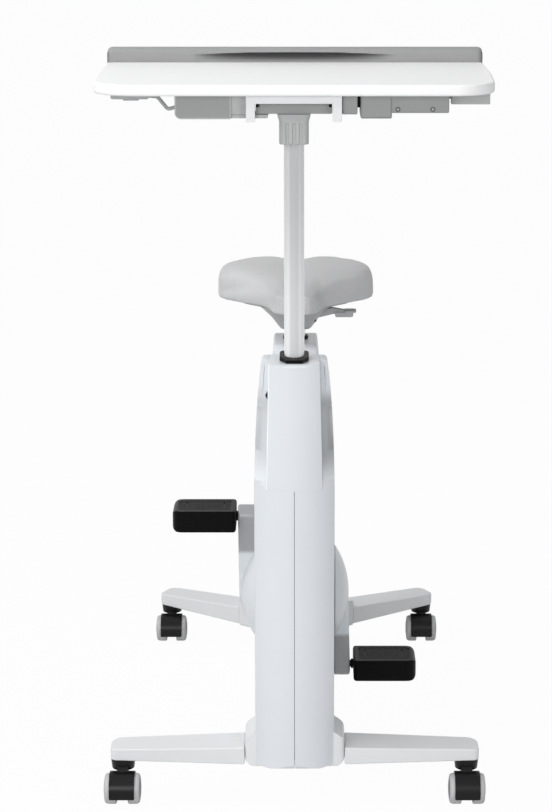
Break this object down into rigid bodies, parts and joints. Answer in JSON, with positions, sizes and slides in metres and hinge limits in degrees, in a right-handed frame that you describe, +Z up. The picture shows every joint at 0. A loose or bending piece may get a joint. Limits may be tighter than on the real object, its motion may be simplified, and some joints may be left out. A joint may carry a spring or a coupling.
{
  "type": "desk exercise bike",
  "caption": "Stationary pedal bike with a saddle, a height-adjustable desktop with a wrist rest on a post, and swivel casters.",
  "frame": {"origin": "on the floor, below the middle of the whole object", "axes": "+Z up; +X to the right as seen from the desktop end; +Y from the desktop end to the rider's end"},
  "size_m": [0.633, 0.9032, 1.2138],
  "materials": {
    "belt_rubber": "matt",
    "black_plastic": "fine matt texture",
    "dark_glass": "polished",
    "dark_steel": "matt black paint",
    "desk_white": "matt laminate",
    "grey_casting": "satin grey paint",
    "grey_pad": "matt soft-touch",
    "grey_saddle": "fine-grained vinyl",
    "pale_tyre": "matt",
    "steel": "turned",
    "white_paint": "satin powder coat",
    "white_shell": "satin moulded"
  },
  "bodies": {
    "base": {"main_frame": "dark_steel", "front_foot_bracket": "grey_casting", "rear_foot_bracket": "white_paint", "front_leg_left": "white_paint", "front_leg_right": "white_paint", "rear_leg_left": "white_paint", "rear_leg_right": "white_paint", "body_shell_left": "white_shell", "body_shell_right": "white_shell", "column_cover": "white_shell", "console_housing": "white_shell", "display": "dark_glass", "rear_column_cap": "white_shell", "crank_bearing_left": "steel", "crank_bearing_right": "steel", "drive_belt": "belt_rubber", "seat_bushing": "black_plastic", "seat_gas_cylinder": "dark_steel", "desk_bushing": "black_plastic", "desk_gas_cylinder": "dark_steel"},
    "yoke_front_left": {"caster_yoke_front_left": "black_plastic"},
    "wheels_front_left": {"caster_wheels_front_left": "pale_tyre"},
    "yoke_front_right": {"caster_yoke_front_right": "black_plastic"},
    "wheels_front_right": {"caster_wheels_front_right": "pale_tyre"},
    "yoke_rear_left": {"caster_yoke_rear_left": "black_plastic"},
    "wheels_rear_left": {"caster_wheels_rear_left": "pale_tyre"},
    "yoke_rear_right": {"caster_yoke_rear_right": "black_plastic"},
    "wheels_rear_right": {"caster_wheels_rear_right": "pale_tyre"},
    "crank": {"crank_spindle": "steel", "drive_pulley": "black_plastic", "crank_arm_left": "white_paint", "crank_arm_right": "white_paint", "pedal_axle_left": "black_plastic", "pedal_axle_right": "black_plastic"},
    "pedal_left": {"pedal_left": "black_plastic"},
    "pedal_right": {"pedal_right": "black_plastic"},
    "flywheel": {"flywheel": "steel", "flywheel_axle": "steel"},
    "resistance_knob": {"resistance_knob": "black_plastic"},
    "magnet_arm": {"magnet_arm": "dark_steel"},
    "seat_post": {"seat_post": "steel", "seat_gas_rod": "steel", "seat_clamp": "grey_casting", "saddle_pan": "grey_casting", "saddle_cushion": "grey_saddle"},
    "seat_lever": {"seat_lever": "grey_casting"},
    "desk_post": {"desk_post": "white_paint", "desk_gas_rod": "steel", "desk_collar": "grey_casting", "slide_housing": "grey_casting"},
    "desktop": {"desktop": "desk_white", "wrist_rest": "grey_pad", "u_bracket": "white_paint", "slide_rail_left": "steel", "slide_rail_right": "steel", "left_box": "grey_casting", "right_inner_box": "grey_casting", "right_outer_box": "grey_casting"},
    "height_lever": {"height_lever": "grey_casting"},
    "slide_lever": {"slide_lever": "grey_casting"}
  },
  "joints": [
    {"name": "swivel_front_left", "type": "hinge", "parent": "base", "child": "yoke_front_left", "pos_m": [-0.285, -0.3775, 0.072], "axis": [0, 0, 1], "continuous": true},
    {"name": "roll_front_left", "type": "hinge", "parent": "yoke_front_left", "child": "wheels_front_left", "pos_m": [-0.285, -0.4025, 0.0255], "axis": [1, 0, 0], "continuous": true},
    {"name": "swivel_front_right", "type": "hinge", "parent": "base", "child": "yoke_front_right", "pos_m": [0.285, -0.3775, 0.072], "axis": [0, 0, 1], "continuous": true},
    {"name": "roll_front_right", "type": "hinge", "parent": "yoke_front_right", "child": "wheels_front_right", "pos_m": [0.285, -0.4025, 0.0255], "axis": [1, 0, 0], "continuous": true},
    {"name": "swivel_rear_left", "type": "hinge", "parent": "base", "child": "yoke_rear_left", "pos_m": [-0.249, 0.4275, 0.072], "axis": [0, 0, 1], "continuous": true},
    {"name": "roll_rear_left", "type": "hinge", "parent": "yoke_rear_left", "child": "wheels_rear_left", "pos_m": [-0.249, 0.4025, 0.0255], "axis": [1, 0, 0], "continuous": true},
    {"name": "swivel_rear_right", "type": "hinge", "parent": "base", "child": "yoke_rear_right", "pos_m": [0.249, 0.4275, 0.072], "axis": [0, 0, 1], "continuous": true},
    {"name": "roll_rear_right", "type": "hinge", "parent": "yoke_rear_right", "child": "wheels_rear_right", "pos_m": [0.249, 0.4025, 0.0255], "axis": [1, 0, 0], "continuous": true},
    {"name": "crank_turn", "type": "hinge", "parent": "base", "child": "crank", "pos_m": [0, -0.1025, 0.2712], "axis": [1, 0, 0], "continuous": true},
    {"name": "pedal_spin_left", "type": "hinge", "parent": "crank", "child": "pedal_left", "pos_m": [-0.1575, -0.1025, 0.4074], "axis": [1, 0, 0], "continuous": true},
    {"name": "pedal_spin_right", "type": "hinge", "parent": "crank", "child": "pedal_right", "pos_m": [0.1575, -0.1025, 0.135], "axis": [1, 0, 0], "continuous": true},
    {"name": "flywheel_spin", "type": "hinge", "parent": "base", "child": "flywheel", "pos_m": [0, -0.2375, 0.222], "axis": [1, 0, 0], "continuous": true},
    {"name": "resistance_turn", "type": "hinge", "parent": "base", "child": "resistance_knob", "pos_m": [0, -0.2972, 0.618], "axis": [0, 1, 0], "range_deg": [0, 270]},
    {"name": "magnet_swing", "type": "hinge", "parent": "base", "child": "magnet_arm", "pos_m": [0, -0.3125, 0.332], "axis": [1, 0, 0], "range_deg": [-8, 0]},
    {"name": "seat_height", "type": "slide", "parent": "base", "child": "seat_post", "axis": [0, 0.1736, 0.9848], "range_m": [0, 0.2]},
    {"name": "seat_lever_pull", "type": "hinge", "parent": "seat_post", "child": "seat_lever", "pos_m": [0.036, 0.17849, 0.70048], "axis": [0, -1, 0], "range_deg": [0, 10], "stiffness_Nm_per_rad": 0.4},
    {"name": "desk_height", "type": "slide", "parent": "base", "child": "desk_post", "axis": [0, 0, 1], "range_m": [-0.12, 0.08]},
    {"name": "desktop_slide", "type": "slide", "parent": "desk_post", "child": "desktop", "axis": [0, 1, 0], "range_m": [-0.1, 0]},
    {"name": "height_lever_pull", "type": "hinge", "parent": "desktop", "child": "height_lever", "pos_m": [-0.1831, -0.3575, 1.1445], "axis": [-1, 0, 0], "range_deg": [0, 30], "stiffness_Nm_per_rad": 0.3},
    {"name": "slide_lever_pull", "type": "hinge", "parent": "desktop", "child": "slide_lever", "pos_m": [0.2385, -0.3575, 1.1615], "axis": [-1, 0, 0], "range_deg": [0, 25], "stiffness_Nm_per_rad": 0.3}
  ],
  "couplings": [
    {"joint": "flywheel_spin", "follows": "crank_turn", "ratio": 4.1552},
    {"joint": "magnet_swing", "follows": "resistance_turn", "ratio": -0.02963}
  ]
}
